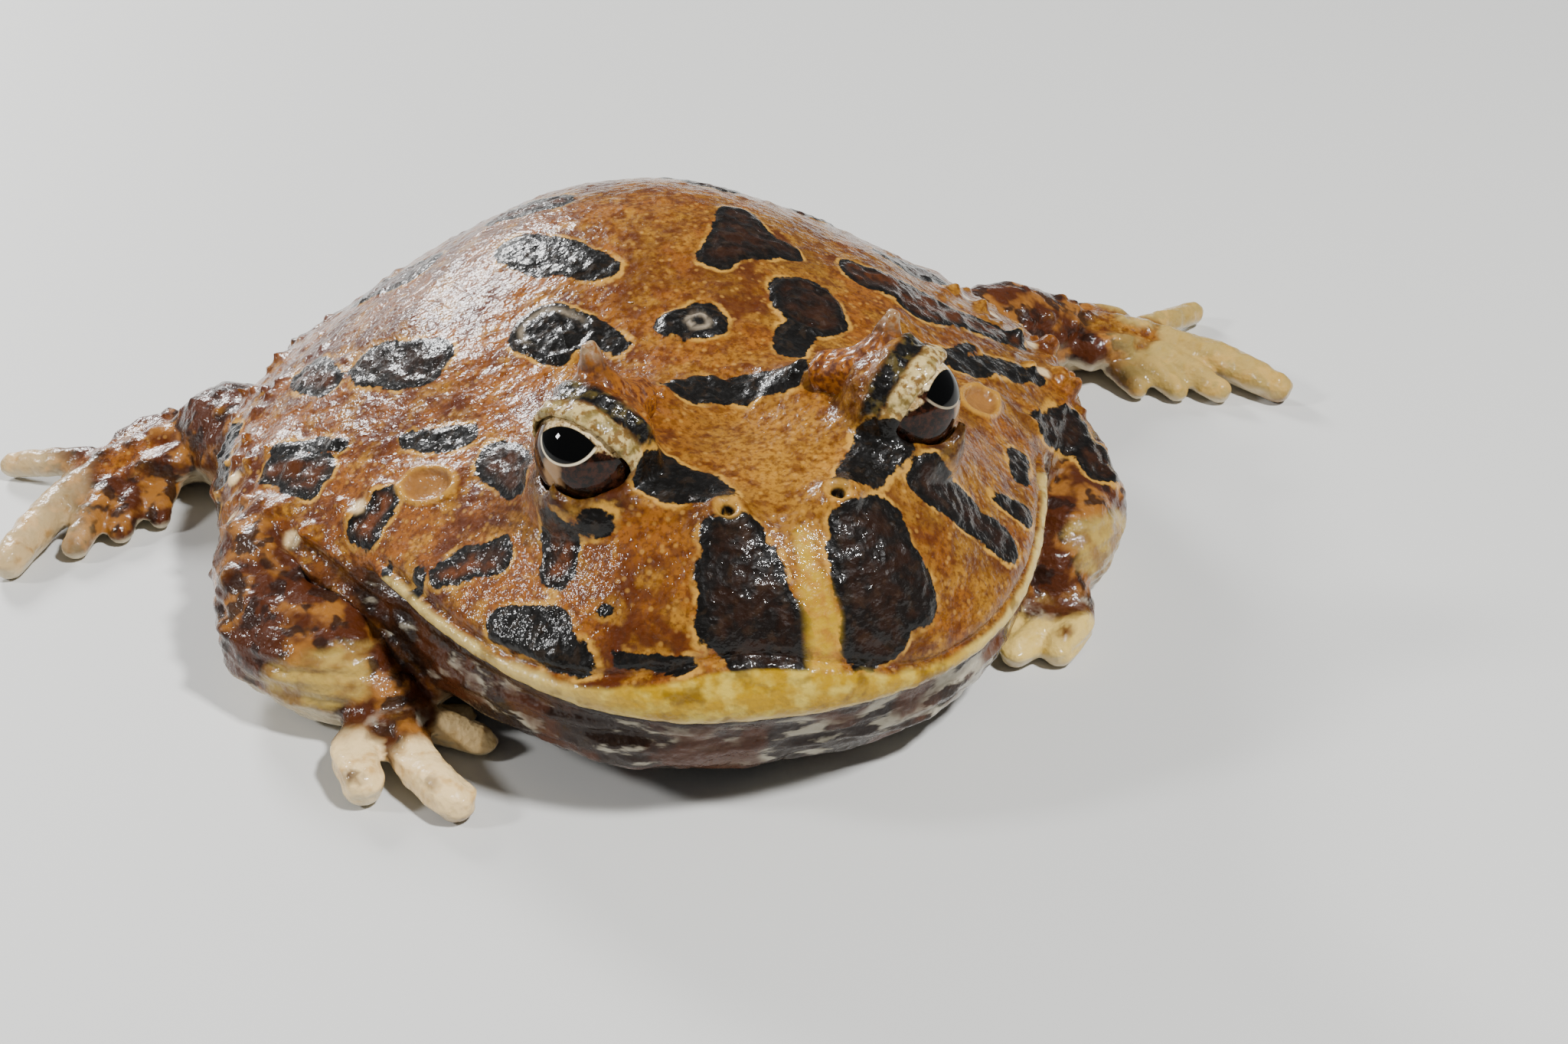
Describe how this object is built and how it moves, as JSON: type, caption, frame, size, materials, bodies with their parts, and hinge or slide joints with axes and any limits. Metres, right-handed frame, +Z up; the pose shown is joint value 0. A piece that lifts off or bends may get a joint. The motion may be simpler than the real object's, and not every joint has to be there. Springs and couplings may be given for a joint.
{
  "type": "argentine horned frog",
  "caption": "Adult horned frog sitting still, with a wide mouth, small horned lids over its eyes, a rounded back and short limbs spread on the floor.",
  "frame": {"origin": "middle of the flat under the belly, on the floor", "axes": "the frog faces -Y, its left side is +X, +Z is up"},
  "size_m": [0.1726, 0.1107, 0.0467],
  "materials": {
    "skin": "wet and glossy, orange-brown with near-black blotches",
    "horn": "wet, brown, paler at the tip",
    "eye": "wet and clear over a speckled gold and brown iris with a black pupil"
  },
  "bodies": {
    "root": {"torso": "skin", "head": "skin", "lower_jaw": "skin", "upper_arm_left": "skin", "upper_arm_right": "skin", "forearm_left": "skin", "forearm_right": "skin", "hand_left": "skin", "hand_right": "skin", "thigh_left": "skin", "thigh_right": "skin", "shank_left": "skin", "shank_right": "skin", "foot_left": "skin", "foot_right": "skin", "horn_left": "horn", "horn_right": "horn", "eye_left": "eye", "eye_right": "eye"}
  },
  "joints": []
}
